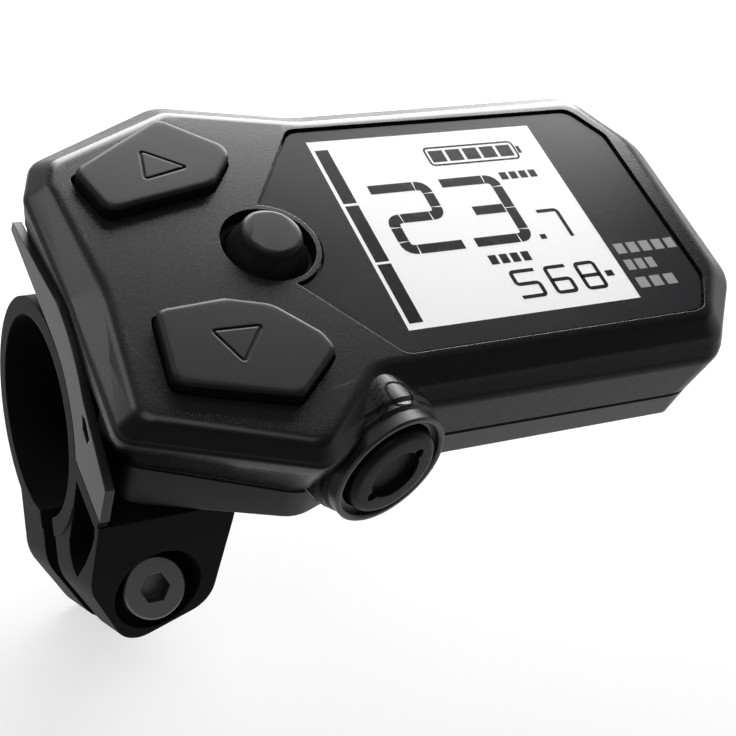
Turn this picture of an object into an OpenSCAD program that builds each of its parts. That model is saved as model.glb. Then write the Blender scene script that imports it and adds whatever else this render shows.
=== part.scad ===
// Handlebar display and switch unit for an electric bicycle.
// The origin is the centre of the clamp bore. X runs along the handlebar, Z is up
// through the display, and the rider looks at it from the -Y side.

/* [Handlebar clamp] */
// Diameter of the handlebar that the clamp closes on
bar_d = 22.2; // [21:0.1:24]
// Wall of the clamp band
band_t = 2; // [1.6:0.1:2.8]
// Length of the clamp along the handlebar
band_len = 20; // [17:0.5:23]
// Width of the slit that the bolt closes
slit_w = 4.4; // [3.6:0.1:5]
// Direction of the slit, seen along +X and turned from +Y
slit_a = 226; // [220:1:232]
// Diameter of the clamp bolt
bolt_d = 4; // [3:0.5:5]
// Distance of the bolt axis from the outside of the band
bolt_out = 5.3; // [5:0.1:6]
// Radius of the rounded end of the clamp ears
ear_r = 5; // [4.4:0.1:5.4]

/* [Housing] */
// Length of the switch end, from the clamp to the window
switch_len = 33.7; // [31.5:0.1:36]
// Length of the display end beyond the window
end_len = 15.8; // [14.5:0.1:17.5]
// Border between the window and the long sides of the housing
border_h = 7.05; // [6.6:0.05:8]
// How far the switch end stands out beyond the sides of the display end
wing_out = 3.1; // [2.4:0.1:3.8]
// Height of the front face above the clamp band
body_h = 7.9; // [7.8:0.1:9]
// How far the housing's middle line lies behind the handlebar axis
body_back = 2.2; // [1:0.1:3]
// Wall of the housing shells
wall_t = 1.5; // [1.2:0.1:1.8]
// Depth of the front skirt below the top of the clamp band
skirt_drop = 7.3; // [6.6:0.1:8]

/* [Display] */
// Width of the display window
window_w = 30.4; // [28:0.2:32]
// Height of the display window
window_h = 28.9; // [27:0.1:29.4]
// Thickness of the display lens
lens_t = 0.8; // [0.7:0.1:1]
// Thickness of the display glass
glass_t = 1.8; // [1.6:0.1:2]

/* [Buttons] */
// Height of the two large buttons above the housing
button_rise = 1.5; // [1:0.1:2]
// Travel of every button
travel = 0.6; // [0.4:0.05:0.7]
// Gap around every button
button_gap = 0.25; // [0.2:0.05:0.3]
// Diameter of the round middle button at its foot
mode_d = 9.2; // [8:0.2:9.6]
// Diameter of the round front button
light_d = 10.8; // [10:0.2:11.4]

/* [Hidden] */

$fn = 64;
// Overrun of every cut past the face that it opens
over = 0.5;
// Clearance between pieces that are put together
fit = 0.1;
// Clearance between the housing and the clamp band
seat_gap = 0.15;

bar_r = bar_d / 2;
band_r = bar_r + band_t;
x_left = -band_len / 2;

// Levels, from the bottom up
floor_z = band_r + seat_gap;
floor_t = 1.3;
board_lift = 0.4;
board_t = 1;
board_z = floor_z + floor_t + board_lift;
board_top = board_z + board_t;
face_z = band_r + body_h;
skirt_z = band_r - skirt_drop;

// Housing outlines
body_in = 0.4;
body_x = x_left + body_in;
body_len = switch_len + window_w + end_len;
display_half = window_h / 2 + border_h;
half_depth = display_half + wing_out;
body_depth = 2 * half_depth;
seam_drop = 3.3;
seam_z = band_r - seam_drop;
waist_drop = 0.5;
waist_z = band_r - waist_drop;
rear_seam_up = 1.9;
rear_seam_z = band_r + rear_seam_up;
seam_front_share = 0.93;
seam_rear_share = 0.5;
edge_drop = 2.1;
edge_z = face_z - edge_drop;
corner_steps = 4;
channel_wall = 1.2;
shelf_t = 0.5;
lip_t = 0.9;
lip_up = 0.6;
lip_z = rear_seam_z + lip_up;
seal_h = 0.8;
shelf_z = seam_z - shelf_t;
lip_in = wall_t + fit + lip_t;
board_in = lip_in + 2 * fit;

// Each outline is the front half, from the clamp end to the display end: the place in the
// bays along the housing, the place in the bays across it, and the corner radius as a
// share of half the depth.
edge_shares = [[0, 0.851, 0.1], [0.059, 1.348, 0.14], [0.549, 3, 0.2],
    [1.023, 1.972, 0.8], [2.639, 2.03, 0.2], [3, 0.803, 0.3]];
waist_shares = [[0.021, 0.657, 0.1], [0.092, 1.362, 0.14], [0.611, 2.645, 0.2],
    [1.023, 1.674, 0.8], [2.576, 1.723, 0.2], [2.911, 0.747, 0.3]];
seam_shares = [[0.021, 0.657, 0.1], [0.095, 1.348, 0.14], [0.599, 2.871, 0.2],
    [1.023, 1.801, 0.8], [2.576, 1.844, 0.2], [2.899, 0.768, 0.3]];
lower_shares = [[0.021, 0.727, 0.1], [0.08, 1.617, 0.14], [0.599, 3, 0.2],
    [1.023, 1.787, 0.8], [2.513, 1.816, 0.06], [2.557, 0.851, 0.06]];

// Shoulder of the housing: how far each ring lies inside the edge and below the face
shoulder_in = 3.2;
shoulder_rings = [[0, 1], [0.04, 0.93], [0.93, 0.045], [1, 0]];

// Places along and across the housing. The bays along it are the switch end, the window
// and the display end; across it they are half the window, its border and the wing.
function at_share(s) = body_x + lookup(s, [[0, 0], [1, switch_len], [2, switch_len + window_w],
    [3, body_len]]);
function depth_share(s) = sign(s) * lookup(abs(s), [[0, 0], [1, window_h / 2], [2, display_half],
    [3, half_depth]]);

function unit(v) = v / norm(v);
function normal(a, b) = let (e = unit(b - a)) [-e.y, e.x];

// Corner b of a polygon after its two edges move inwards by d
function inset_corner(a, b, c, d) = let (n1 = normal(a, b), n2 = normal(b, c))
    b + d * (n1 + n2) / (1 + n1 * n2);

// Arc of radius r that rounds corner b
function corner_arc(a, b, c, r, steps) =
    let (n1 = normal(a, b), n2 = normal(b, c), side = sign(cross(n1, n2)),
        middle = b + side * r * (n1 + n2) / (1 + n1 * n2),
        start = atan2(-side * n1.y, -side * n1.x), sweep = side * acos(n1 * n2))
    [for (i = [0:steps]) middle + r * [cos(start + sweep * i / steps), sin(start + sweep * i / steps)]];

// Outline through rounded corners [x, y, r], moved inwards by d
function outline(corners, d = 0, steps = corner_steps) =
    let (n = len(corners), p = [for (c = corners) [c.x, c.y]],
        q = [for (i = [0:n - 1]) inset_corner(p[(i + n - 1) % n], p[i], p[(i + 1) % n], d)])
    [for (i = [0:n - 1]) let (a = q[(i + n - 1) % n], b = q[i], c = q[(i + 1) % n],
            side = sign(cross(normal(a, b), normal(b, c))), r = max(corners[i][2] - side * d, fit))
        each corner_arc(a, b, c, r, steps)];

// Corners of a whole outline from the shares of its front half
function plan(shares) = let (front = [for (s = shares)
        [at_share(s[0]), -depth_share(s[1]), s[2] * half_depth]], n = len(front))
    concat([for (c = front) [c.x, body_back + c.y, c[2]]],
        [for (i = [n - 1:-1:0]) [front[i].x, body_back - front[i].y, front[i][2]]]);

function raised(points, z) = [for (p = points) [p.x, p.y, z]];

// Solid through a list of rings with the same number of points, lowest first
module loft(rings) {
    n = len(rings[0]);
    m = len(rings);
    sides = [for (j = [0:m - 2]) for (i = [0:n - 1]) let (k = (i + 1) % n)
        each [[j * n + i, (j + 1) * n + i, (j + 1) * n + k], [j * n + i, (j + 1) * n + k, j * n + k]]];
    polyhedron(points = [for (r = rings) each r],
        faces = concat([[for (i = [0:n - 1]) i]], sides, [[for (i = [n - 1:-1:0]) (m - 1) * n + i]]),
        convexity = 6);
}

// Box from its lowest corner
module block(low, size) {
    translate(low)
        cube(size);
}

// Outline in the YZ plane, drawn out along X
module along_x(x, length) {
    translate([x, 0, 0])
        rotate([90, 0, 90])
            linear_extrude(length)
                children();
}

// Roof, lens and inner stack
roof_t = 1.8;
roof_z = face_z - roof_t;
lens_recess = 0.3;
lens_z = face_z - lens_recess - lens_t;
lens_shares = [[0.7, 0.34, 0.04], [0.952, 1.333, 0.09], [2.438, 1.333, 0.1], [2.618, 0.831, 0.1]];
lens_gap = 0.15;
gasket_t = 0.15;
glass_top = lens_z - gasket_t;
glass_z = glass_top - glass_t;
window_x = at_share(1.5);
window_up = 0.65;
window_y = body_back + window_up;
glass_side = 1.4;
glass_end = 0.5;
glass_w = window_w + 2 * glass_side;
glass_h = window_h + 2 * glass_end;
frame_t = 0.9;
strip_w = 1.6;
guide_h = glass_h - 2 * strip_w - 2 * fit;

// Middle button and its well
mode_x = at_share(0.679);
mode_y = body_back;
mode_r = mode_d / 2;
mode_taper = 1.2;
mode_top_r = mode_r - mode_taper;
mode_rise = 2;
well_gap = 0.7;
well_r = mode_r + well_gap;
well_lip = 0.8;
flange_t = 0.6;
flange_out = 0.7;
seal_t = 0.35;
mode_flange_r = well_r + flange_t;
flange_top = roof_z - seal_t;
flange_z = flange_top - flange_t;

// Two large buttons
button_shares = [[0.208, 0.982, 0.07], [0.546, 1.73, 0.07], [0.714, 1.106, 0.06],
    [0.63, 0.693, 0.12], [0.51, 0.526, 0.12], [0.238, 0.456, 0.06]];
button_x = at_share(0.453);
button_y = depth_share(0.869);
button_top = face_z + button_rise;
button_edge = 0.55;

// Small push switches
switch_w = 4.5;
switch_h = 1.2;
plunger_r = 1;
plunger_up = travel + fit;
plunger_in = 0.3;
stem_r = 1.5;
plunger_top = board_top + switch_h + plunger_up;
plunger_z = board_top + switch_h - plunger_in;
plunger_gap = 0.15;

// Round front button: its axis is turned towards the display and tipped up. Stations
// along it are counted like Y from the front of its boss.
light_turn = 12;
light_tip = 7;
light_x = at_share(0.834);
light_up = 0.2;
light_z = band_r + light_up;
light_r = light_d / 2;
light_edge = 0.8;
collar_wall = 0.75;
collar_gap = 0.85;
collar_r = light_r + collar_gap + collar_wall;
boss_in = 0.1;
boss_front = body_back - half_depth + boss_in;
collar_t = 1.6;
collar_lip = 0.7;
seal_in = 0.3;
light_flange_r = light_r + button_gap + seal_in;
boss_bore_r = light_flange_r + button_gap;
light_flange_y = boss_front + seal_t;
light_stem_y = light_flange_y + flange_t;
light_plunger_y = light_stem_y + flange_t;
light_switch_y = light_plunger_y + plunger_up;
light_board_y = light_switch_y + switch_h;
light_board_t = 0.8;
boss_end_t = 0.8;
boss_back = light_board_y + light_board_t + boss_end_t;
boss_step = 1;
boss_step_r = boss_bore_r - boss_step;
hood_flare = 1.3;
hood_step = 0.35;
hood_step_t = 0.9;
light_rise = 1.4;
dish_share = 0.56;
dish_t = 0.9;
notch_share = 0.13;
notch_out_share = 0.58;
notch_a = -38;

// Screws
screw_r = 0.9;
screw_head_r = 1.6;
screw_head_t = 0.8;
screw_len = 5;
screw_shares = [[0.877, 1.637], [2.649, 0.681], [2.649, -0.681]];
screw_boss_r = 2;
screw_end_gap = 0.2;
screw_boss_z = board_top + fit;
screw_hole_top = floor_z + screw_head_t + screw_len + screw_end_gap;

// Clamp bracket, laid out about the bore
slit_c = [cos(slit_a), sin(slit_a)];
head_c = [sin(slit_a), -cos(slit_a)];
ear_nut_t = 7.4;
ear_low = slit_w / 2 + ear_nut_t;
bolt_reach = band_r + bolt_out;
bolt_x_share = -0.11;
bolt_x = bolt_x_share * band_len;
bolt_head_r = 0.875 * bolt_d;
bolt_head_t = 0.7 * bolt_d;
bolt_sink = 0.9;
tool_gap = 1.3;
counterbore_r = bolt_head_r + tool_gap;
socket_share = 0.6;
socket_af = 0.75 * bolt_d;
nut_t = 0.8 * bolt_d;
nut_af = 1.75 * bolt_d;

// Front of the bracket: a plane that leans out from the top of its web downwards
web_top = skirt_z - fit;
web_reach = 6.1;
web_y = -band_r - web_reach;
front_lean = 10.4;
front_n = [-cos(front_lean), sin(front_lean)];
axis_top = (front_n * [web_y, web_top] - bolt_reach * (front_n * slit_c)) / (front_n * head_c);
bolt_head_top = axis_top - bolt_sink;

// Outline of the ears, seen along the bolt: shares of half the clamp length, of the
// reach of the bolt, and of the end radius
ear_shares = [[-0.985, 0.19, 0.1], [-0.985, 0.918, 1], [-0.47, 1.363, 0.6], [0.43, 1.163, 0.7],
    [0.505, 0.6, 0.2], [0.505, 0.19, 0.1]];
ear_steps = 8;
pocket_depth = 2.9;
pocket_shares = [[-0.955, 0.38], [-1.39, 0.38], [-1.435, 0.25], [-1.435, 0.11], [-1.405, -0.14],
    [-1.335, -0.43], [-1.232, -0.44], [-1.131, -0.4], [-1.055, -0.3], [-1.02, -0.06], [-1, 0.17]];

// End plate of the lower shell, flush with the end of the clamp
plate_t = 1;
lip_h = 1.1;
lip_top = web_top + lip_h;
band_mid_r = bar_r + band_t / 2;
plate_z = lip_top + fit;
arch_wall = 4.5;
arch_r = band_r + arch_wall;
arch_from_a = 124;
arch_to_a = 88;
arch_steps = 9;
plate_foot_share = 1.473;
plate_front_shares = [[-1.427, 0.87], [-1.305, 0.916]];
plate_rear_shares = [[0.64, 1.214], [1.16, 1.1], [1.16, 1.02]];
slot_shares = [[-0.79, 1], [-0.86, 1.02], [-1, 0.95], [-0.98, 0.87], [-0.86, 0.9]];
slot_t = 0.7;
end_t = 2.6;

// Frame of the slit: -Y points out along the slit and Z along the bolt to its head
module slit_frame() {
    rotate([slit_a - 180, 0, 0])
        children();
}

// Both ears as one block along the bolt, cut off at the leaning front and under the skirt
module ears() {
    far = 4 * band_r;
    difference() {
        slit_frame()
            translate([0, 0, -ear_low])
                linear_extrude(ear_low + far)
                    polygon(outline([for (e = ear_shares)
                        [e[0] * band_len / 2, -e[1] * bolt_reach, e[2] * ear_r]], 0, ear_steps));
        block([-far, -2 * far, web_top], [2 * far, 4 * far, 2 * far]);
        translate([0, web_y, web_top])
            rotate([-front_lean, 0, 0])
                block([-far, -far, -2 * far], [2 * far, far, 4 * far]);
    }
}

// Axis cylinder along the handlebar
module bar_cylinder(r, x, length) {
    translate([x, 0, 0])
        rotate([0, 90, 0])
            cylinder(r = r, h = length);
}

module clamp_bracket() {
    color("#2c2c2d")
        difference() {
            union() {
                bar_cylinder(band_r, x_left, band_len);
                ears();
                // Lip under the end plate
                along_x(x_left, plate_t)
                    polygon([[-band_mid_r, 0], [-sqrt(band_mid_r ^ 2 - lip_top ^ 2), lip_top],
                        [web_y + fit, lip_top], [web_y + fit, web_top - fit]]);
            }
            bar_cylinder(bar_r, x_left - over, band_len + 2 * over);
            along_x(x_left - over, pocket_depth + over)
                polygon([for (p = pocket_shares) band_r * p]);
            slit_frame() {
                block([x_left - over, -2 * band_r, -slit_w / 2], [band_len + 2 * over, 2 * band_r, slit_w]);
                translate([bolt_x, -bolt_reach, -ear_low - over])
                    cylinder(d = bolt_d + 2 * fit, h = ear_low + bolt_head_top);
                translate([bolt_x, -bolt_reach, bolt_head_top - bolt_head_t])
                    cylinder(r = counterbore_r, h = 2 * band_r);
                translate([bolt_x, -bolt_reach, -ear_low - over])
                    nut_form(nut_af + 2 * fit, nut_t + over);
            }
            bracket_screw_places()
                translate([0, 0, -bracket_screw_len - fit])
                    cylinder(r = screw_r, h = bracket_screw_len + fit + over);
        }
}

module nut_form(across, height) {
    cylinder(d = across / cos(30), h = height, $fn = 6);
}

module clamp_bolt() {
    color("#3a3a3c")
        slit_frame()
            translate([bolt_x, -bolt_reach, 0])
                difference() {
                    union() {
                        translate([0, 0, bolt_head_top - bolt_head_t])
                            rotate_extrude()
                                polygon([[0, 0], [bolt_head_r, 0], [bolt_head_r, bolt_head_t - 2 * fit],
                                    [bolt_head_r - 2 * fit, bolt_head_t], [0, bolt_head_t]]);
                        translate([0, 0, -ear_low])
                            cylinder(d = bolt_d, h = ear_low + bolt_head_top - bolt_head_t);
                    }
                    translate([0, 0, bolt_head_top - socket_share * bolt_head_t])
                        nut_form(socket_af, bolt_head_t);
                }
}

module clamp_nut() {
    color("#8c8c8c")
        slit_frame()
            translate([bolt_x, -bolt_reach, -ear_low])
                difference() {
                    nut_form(nut_af, nut_t);
                    translate([0, 0, -over])
                        cylinder(d = bolt_d + 2 * fit, h = nut_t + 2 * over);
                }
}

// Two screws from inside the skirt down into the clamp bracket
bracket_screw_shares = [-0.06, 0.15];
bracket_screw_in = 2.1;
bracket_screw_y = -band_r - bracket_screw_in;
bracket_screw_len = 5;
screw_socket_share = 0.9;

module bracket_screw_places() {
    for (s = bracket_screw_shares)
        translate([s * band_len, bracket_screw_y, web_top])
            children();
}

module screw(length) {
    translate([0, 0, -length])
        cylinder(r = screw_r - fit / 2, h = length);
    difference() {
        cylinder(r = screw_head_r, h = screw_head_t);
        translate([0, 0, screw_head_t / 2])
            nut_form(screw_head_r * screw_socket_share, screw_head_t);
    }
}

module bracket_screws() {
    color("#9a9a9a")
        bracket_screw_places()
            translate([0, 0, wall_t + fit])
                screw(bracket_screw_len + wall_t);
}

module screw_places() {
    for (s = screw_shares)
        translate([at_share(s[0]), body_back + depth_share(s[1]), floor_z + screw_head_t])
            children();
}

module housing_screws() {
    color("#3a3a3c")
        screw_places()
            mirror([0, 0, 1])
                screw(screw_len);
}

// Outline of the housing at a height between its waist and its edge
function wall_ring(z) = let (t = (z - waist_z) / (edge_z - waist_z))
    (1 - t) * outline(plan(waist_shares)) + t * outline(plan(edge_shares));

// Everything below the seam between the two shells, drawn out along the housing
module below_seam(shift = 0) {
    far = 2 * body_len;
    front_y = -seam_front_share * band_r;
    step_y = -seam_rear_share * band_r;
    along_x(x_left - far, 3 * far)
        polygon([[-far, -far], [-far, seam_z + shift], [front_y, seam_z + shift],
            [step_y, rear_seam_z + shift], [far, rear_seam_z + shift], [far, -far]]);
}

// Space for the handlebar and the clamp band under the housing, and behind it
module bar_space(r) {
    bar_cylinder(r, x_left - over, body_len + body_in + 2 * over);
    block([x_left - over, 0, -2 * band_r], [body_len + body_in + 2 * over, body_depth, 2 * band_r + r]);
}

// Room inside the upper shell
module upper_room() {
    translate([0, 0, seam_z - over])
        linear_extrude(roof_z - seam_z + over)
            polygon(outline(plan(waist_shares), wall_t));
}

// Room inside the lower shell: within its lip, and below that within the skirt
module lower_room() {
    translate([0, 0, shelf_z - fit])
        linear_extrude(roof_z - shelf_z)
            polygon(outline(plan(waist_shares), lip_in));
    translate([0, 0, skirt_z + wall_t])
        intersection() {
            linear_extrude(shelf_z - skirt_z - wall_t)
                polygon(outline(plan(lower_shares), wall_t));
            linear_extrude(shelf_z - skirt_z - wall_t)
                polygon(outline(plan(seam_shares), wall_t + fit));
        }
}

module light_axis(y) {
    translate([light_x, boss_front, light_z])
        rotate([0, 0, light_turn])
            rotate([-90 - light_tip, 0, 0])
                translate([0, 0, y - boss_front])
                    children();
}

// Stepped and flared boss of the round front button
module boss_form(gap) {
    deep = boss_back - boss_front + gap;
    light_axis(boss_front)
        rotate_extrude()
            polygon([[0, -gap], [collar_r + gap, -gap], [collar_r + hood_step + gap, hood_step - gap],
                [collar_r + hood_step + gap, hood_step_t],
                [collar_r + 2 * hood_step + gap, hood_step_t + hood_step],
                [collar_r + hood_flare + gap, deep], [0, deep]]);
}

// End plate grown by a gap, from a place along the handlebar
module end_plate(gap, x, length) {
    arch = [for (i = [0:arch_steps]) let (a = arch_from_a + (arch_to_a - arch_from_a) * i / arch_steps)
        arch_r * [cos(a), sin(a)]];
    points = concat([[-plate_foot_share * band_r, plate_z]], [for (p = plate_front_shares) band_r * p],
        arch, [for (p = plate_rear_shares) band_r * p], [[0, plate_z]]);
    along_x(x, length)
        polygon([for (p = points) p + gap * unit(p)]);
}

module upper_form() {
    loft(concat(
        [raised(outline(plan(seam_shares)), seam_z), raised(outline(plan(waist_shares)), waist_z)],
        [raised(wall_ring(rear_seam_z), rear_seam_z)],
        [for (s = shoulder_rings)
            raised(outline(plan(edge_shares), s[0] * shoulder_in), face_z - s[1] * edge_drop)]));
}

// Ring that runs round the inside of the walls
module rim(low, high) {
    translate([0, 0, low])
        linear_extrude(high - low)
            difference() {
                polygon(outline(plan(waist_shares), wall_t + fit));
                polygon(outline(plan(waist_shares), lip_in));
            }
}

module mirrored_up() {
    translate([0, 2 * body_back, 0])
        mirror([0, 1, 0])
            children();
}

function button_outline(d) = outline([for (s = button_shares)
    [at_share(s[0]), body_back - depth_share(s[1]), s[2] * half_depth]], d);

module upper_housing() {
    color("#38383a")
        difference() {
            union() {
                difference() {
                    upper_form();
                    upper_room();
                    below_seam();
                    end_plate(fit, x_left - over, over + plate_t + fit);
                }
                // Boss of the round front button
                boss_form(0);
                // Bosses for the housing screws
                for (s = screw_shares)
                    translate([at_share(s[0]), body_back + depth_share(s[1]), screw_boss_z])
                        cylinder(r = screw_boss_r, h = roof_z + over - screw_boss_z);
                // Lip round the middle button
                translate([mode_x, mode_y, roof_z])
                    cylinder(r = well_r + well_lip, h = roof_t - lens_recess / 2);
            }
            // Opening under the lens, and the seat that the lens lies in
            translate([0, 0, lens_z - gasket_t])
                linear_extrude(2 * lens_t)
                    difference() {
                        polygon(outline(plan(lens_shares), -lens_gap));
                        translate([mode_x, mode_y])
                            circle(r = well_r + well_lip);
                    }
            block([window_x - glass_w / 2 - fit, window_y - glass_h / 2 - fit, roof_z - over],
                [glass_w + 2 * fit, glass_h + 2 * fit, 2 * roof_t]);
            // Openings of the buttons
            translate([0, 0, roof_z - over]) {
                linear_extrude(2 * roof_t + 2 * over)
                    polygon(button_outline(-button_gap));
                mirrored_up()
                    linear_extrude(2 * roof_t + 2 * over)
                        polygon(button_outline(-button_gap));
            }
            translate([mode_x, mode_y, roof_z - over])
                cylinder(r = well_r, h = 2 * roof_t);
            light_axis(boss_front - over)
                cylinder(r = boss_bore_r, h = light_board_y + light_board_t - boss_front + over);
            light_axis(boss_front)
                cylinder(r = boss_step_r, h = boss_back - boss_front + over);
            for (s = screw_shares)
                translate([at_share(s[0]), body_back + depth_share(s[1]), floor_z])
                    cylinder(r = screw_r, h = screw_hole_top - floor_z);
        }
}

module lower_housing() {
    color("#2c2c2d")
        difference() {
            union() {
                difference() {
                    union() {
                        loft([raised(outline(plan(lower_shares)), skirt_z),
                            raised(outline(plan(seam_shares)), shelf_z)]);
                        loft([raised(outline(plan(seam_shares), 2 * fit), shelf_z),
                            raised(outline(plan(seam_shares), fit), seam_z - fit)]);
                        intersection() {
                            loft([raised(outline(plan(seam_shares)), seam_z),
                                raised(outline(plan(waist_shares)), waist_z),
                                raised(wall_ring(rear_seam_z), rear_seam_z)]);
                            below_seam(-fit);
                        }
                    }
                    difference() {
                        lower_room();
                        bar_cylinder(floor_z + channel_wall, x_left, 2 * body_len);
                        block([x_left, 0, 0], [2 * body_len, body_depth, floor_z + floor_t]);
                    }
                }
                // End plate, and the ring that joins it to the shell
                end_plate(0, x_left, plate_t);
                bar_cylinder(floor_z + channel_wall, x_left, end_t);
                // Lip that locates the upper shell
                rim(shelf_z, lip_z);
                // Posts under the board
                for (s = screw_shares)
                    translate([at_share(s[0]), body_back + depth_share(s[1]), floor_z])
                        cylinder(r = screw_boss_r, h = board_z - floor_z);
            }
            bar_space(floor_z);
            block([x_left, -body_depth, -2 * band_r], [body_depth, 2 * body_depth, 2 * band_r + skirt_z]);
            boss_form(fit);
            light_axis(boss_front - body_depth)
                cylinder(r = collar_r + fit, h = body_depth);
            screw_places()
                translate([0, 0, -screw_head_t - over])
                    cylinder(r = screw_head_r + fit, h = screw_head_t + over);
            screw_places()
                cylinder(r = screw_r, h = screw_len);
            // Room for the lip of the bracket, and a slot in the end plate
            block([x_left - over, -body_depth, 0], [over + plate_t + fit, body_depth, plate_z]);
            along_x(x_left - over, over + slot_t)
                polygon([for (p = slot_shares) band_r * p]);
            bracket_screw_places() {
                cylinder(r = screw_r + fit, h = screw_len);
                translate([0, 0, wall_t + fit])
                    cylinder(r = screw_head_r + fit, h = screw_head_t + fit);
            }
            port_axis(port_x - port_len - over)
                cylinder(r = port_r + fit / 2, h = port_len + 2 * over);
            port_axis(port_x - port_len - wall_t - fit)
                cylinder(r = port_bore_r, h = wall_t + fit);
        }
}

module housing_seal() {
    color("#1c1c1c")
        difference() {
            rim(lip_z, lip_z + seal_h);
            boss_form(fit);
            for (s = screw_shares)
                translate([at_share(s[0]), body_back + depth_share(s[1]), lip_z - over])
                    cylinder(r = screw_boss_r + fit, h = seal_h + 2 * over);
        }
}

module display_lens() {
    color("#1b1c1e")
        translate([0, 0, lens_z])
            linear_extrude(lens_t)
                difference() {
                    polygon(outline(plan(lens_shares)));
                    translate([mode_x, mode_y])
                        circle(r = well_r + well_lip + lens_gap);
                }
}

module glass_opening(height) {
    block([window_x - glass_w / 2 - fit, window_y - glass_h / 2 - fit, 0],
        [glass_w + 2 * fit, glass_h + 2 * fit, height]);
}

module lens_gasket() {
    color("#161616")
        translate([0, 0, lens_z - gasket_t])
            difference() {
                linear_extrude(gasket_t)
                    difference() {
                        polygon(outline(plan(lens_shares), 2 * fit));
                        translate([mode_x, mode_y])
                            circle(r = well_r + well_lip + lens_gap + fit);
                    }
                translate([0, 0, -over])
                    glass_opening(gasket_t + 2 * over);
            }
}

// Plate centred on the window, from a level upwards
module window_plate(width, height, low, thick) {
    block([window_x - width / 2, window_y - height / 2, low], [width, height, thick]);
}

module lcd_glass() {
    color("#f4f6f5") {
        window_plate(glass_w, glass_h, glass_z, glass_t / 2);
        window_plate(glass_w - 2 * strip_w, glass_h, glass_z + glass_t / 2, glass_t / 2);
    }
}

module light_guide() {
    color("#e9ebe8")
        window_plate(window_w, guide_h, board_top, glass_z - board_top);
}

module lcd_frame() {
    color("#e4e4e0")
        difference() {
            window_plate(glass_w + 2 * frame_t, glass_h + 2 * frame_t, board_top, roof_z - board_top);
            window_plate(glass_w + fit, glass_h + fit, board_top - over, roof_z - board_top + 2 * over);
        }
}

module contact_strips() {
    color("#c9c9c9")
        for (side = [-1, 1])
            translate([0, side * (glass_h - strip_w) / 2, 0])
                window_plate(window_w, strip_w, board_top, glass_z - board_top);
}

module main_board() {
    color("#1f4a33")
        difference() {
            translate([0, 0, board_z])
                linear_extrude(board_t)
                    polygon(outline(plan(waist_shares), board_in));
            boss_form(2 * fit);
            for (s = screw_shares)
                translate([at_share(s[0]), body_back + depth_share(s[1]), board_z - over])
                    cylinder(r = screw_r + fit, h = board_t + 2 * over);
        }
}

// Chips on the board: place in the bays along the housing, length as a share of the switch
// end, and depth in the bays across it
chip_shares = [[0.19, 0.118, 0.238], [0.28, 0.047, 0.17]];
chip_h = 0.8;

module board_chips() {
    color("#202022")
        for (c = chip_shares)
            block([at_share(c[0]) - c[1] * switch_len / 2, body_back - depth_share(c[2]) / 2, board_top],
                [c[1] * switch_len, depth_share(c[2]), chip_h]);
}

// Rings of a rounded top edge of radius e, for a button that ends at z
function edge_rings(z, e) = [for (i = [0:3]) [e * (1 - cos(i * 30)), z - e + e * sin(i * 30)]];

module large_button() {
    loft(concat([raised(button_outline(0), flange_top)],
        [for (r = edge_rings(button_top, button_edge)) raised(button_outline(r[0]), r[1])]));
    translate([0, 0, flange_z])
        linear_extrude(flange_t)
            polygon(button_outline(-flange_out));
    translate([button_x, body_back - button_y, plunger_top])
        cylinder(r = stem_r, h = flange_z - plunger_top + fit);
}

module down_button() {
    color("#3c3c3e")
        large_button();
}

module up_button() {
    color("#4a4a4c")
        mirrored_up()
            large_button();
}

module mode_button() {
    top = face_z + mode_rise;
    color("#3f3f41")
        translate([mode_x, mode_y, 0])
            rotate_extrude()
                polygon(concat([[0, plunger_top], [stem_r, plunger_top], [stem_r, flange_z],
                    [mode_flange_r, flange_z], [mode_flange_r, flange_top], [mode_r, flange_top],
                    [mode_r, roof_z + seal_t]],
                    [for (r = edge_rings(top, button_edge)) [mode_top_r - r[0], r[1]]],
                    [[0, top]]));
}

module light_button() {
    front = collar_t + light_rise;
    color("#2a2a2b")
        difference() {
            light_axis(boss_front)
                rotate_extrude()
                    polygon(concat([[0, seal_t + 2 * flange_t], [stem_r, seal_t + 2 * flange_t],
                        [stem_r, seal_t + flange_t], [light_flange_r, seal_t + flange_t],
                        [light_flange_r, seal_t], [light_r, seal_t]],
                        [for (r = edge_rings(front, light_edge)) [light_r - r[0], -r[1]]],
                        [[0, -front]]));
            light_axis(boss_front - front - over) {
                cylinder(r = light_r * dish_share, h = over + dish_t);
                rotate([0, 0, notch_a])
                    for (side = [-1, 1])
                        translate([side * light_r * notch_out_share, 0, 0])
                            cylinder(r = light_r * notch_share, h = over + dish_t);
            }
        }
}

module light_collar() {
    color("#232324")
        light_axis(boss_front)
            rotate_extrude()
                polygon([[collar_r, 0], [light_r + button_gap, 0], [light_r + button_gap, -collar_lip],
                    [collar_r - collar_wall, -collar_lip], [collar_r - collar_wall, 2 * fit - collar_t],
                    [collar_r - collar_wall + 2 * fit, -collar_t], [collar_r - 2 * fit, -collar_t],
                    [collar_r, 2 * fit - collar_t]]);
}

// Push switch with a well for its plunger, standing on z = 0
module push_switch() {
    difference() {
        translate([-switch_w / 2, -switch_w / 2, 0])
            cube([switch_w, switch_w, switch_h]);
        translate([0, 0, plunger_in / 2])
            cylinder(r = plunger_r + plunger_gap, h = switch_h);
    }
}

module down_switch() {
    color("#26262a")
        translate([button_x, body_back - button_y, board_top])
            push_switch();
}

module up_switch() {
    color("#26262a")
        translate([button_x, body_back + button_y, board_top])
            push_switch();
}

module mode_switch() {
    color("#26262a")
        translate([mode_x, mode_y, board_top])
            push_switch();
}

module light_switch() {
    color("#26262a")
        light_axis(light_board_y)
            mirror([0, 0, 1])
                push_switch();
}

module down_plunger() {
    color("#b8863b")
        translate([button_x, body_back - button_y, plunger_z])
            cylinder(r = plunger_r, h = plunger_top - plunger_z);
}

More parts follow.
